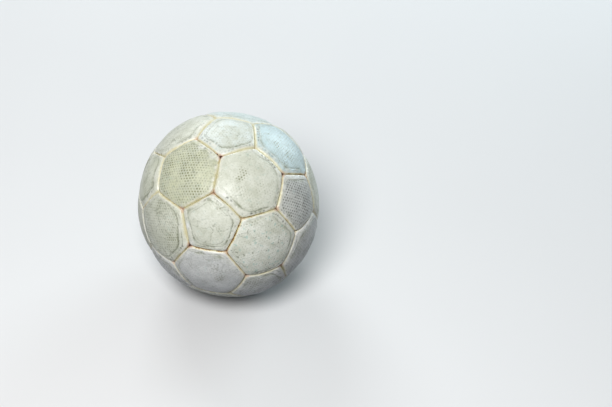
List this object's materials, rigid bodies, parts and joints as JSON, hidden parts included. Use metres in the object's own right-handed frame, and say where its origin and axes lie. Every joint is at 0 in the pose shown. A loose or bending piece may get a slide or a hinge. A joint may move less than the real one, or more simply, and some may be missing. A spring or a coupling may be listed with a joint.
{
  "type": "handball",
  "caption": "Hand-stitched ball of pentagon and hexagon leather panels with sunken seams, over padding, a rubber bladder and an inflation valve.",
  "frame": {"origin": "centre of the ball", "axes": "+Z through the middle of one pentagon, a five-fold axis of the panel pattern; +Y in the half-plane of the hexagon that holds the valve, so X = 0 is a mirror plane"},
  "size_m": [0.1858, 0.1872, 0.1878],
  "materials": {
    "panel_leather": "embossed synthetic leather, worn and dirty",
    "panel_foam": "closed-cell foam",
    "panel_cloth": "woven cotton and polyester",
    "seam_thread": "waxed polyester thread",
    "bladder_rubber": "matt rubber",
    "seat_rubber": "moulded rubber",
    "core_rubber": "moulded soft rubber",
    "patch_cloth": "rubberised cloth"
  },
  "bodies": {
    "root": {"top_pentagon": "panel_leather", "bottom_pentagon": "panel_leather", "upper_pentagon_1": "panel_leather", "upper_cap_hexagon_1": "panel_leather", "upper_belt_hexagon_1": "panel_leather", "upper_pentagon_2": "panel_leather", "upper_cap_hexagon_2": "panel_leather", "upper_belt_hexagon_2": "panel_leather", "upper_pentagon_3": "panel_leather", "upper_cap_hexagon_3": "panel_leather", "upper_pentagon_4": "panel_leather", "upper_cap_hexagon_4": "panel_leather", "upper_belt_hexagon_4": "panel_leather", "upper_pentagon_5": "panel_leather", "upper_cap_hexagon_5": "panel_leather", "upper_belt_hexagon_5": "panel_leather", "lower_pentagon_1": "panel_leather", "lower_cap_hexagon_1": "panel_leather", "lower_belt_hexagon_1": "panel_leather", "lower_pentagon_2": "panel_leather", "lower_cap_hexagon_2": "panel_leather", "lower_belt_hexagon_2": "panel_leather", "lower_pentagon_3": "panel_leather", "lower_cap_hexagon_3": "panel_leather", "lower_belt_hexagon_3": "panel_leather", "lower_pentagon_4": "panel_leather", "lower_cap_hexagon_4": "panel_leather", "lower_belt_hexagon_4": "panel_leather", "lower_pentagon_5": "panel_leather", "lower_cap_hexagon_5": "panel_leather", "lower_belt_hexagon_5": "panel_leather", "valve_hexagon": "panel_leather", "pentagon_foam_pads": "panel_foam", "hexagon_foam_pads": "panel_foam", "pentagon_linings": "panel_cloth", "hexagon_linings": "panel_cloth", "pentagon_seam_threads": "seam_thread", "hexagon_seam_threads": "seam_thread", "bladder": "bladder_rubber", "valve_seat": "seat_rubber", "valve_core": "core_rubber", "valve_patch": "patch_cloth"}
  },
  "joints": []
}
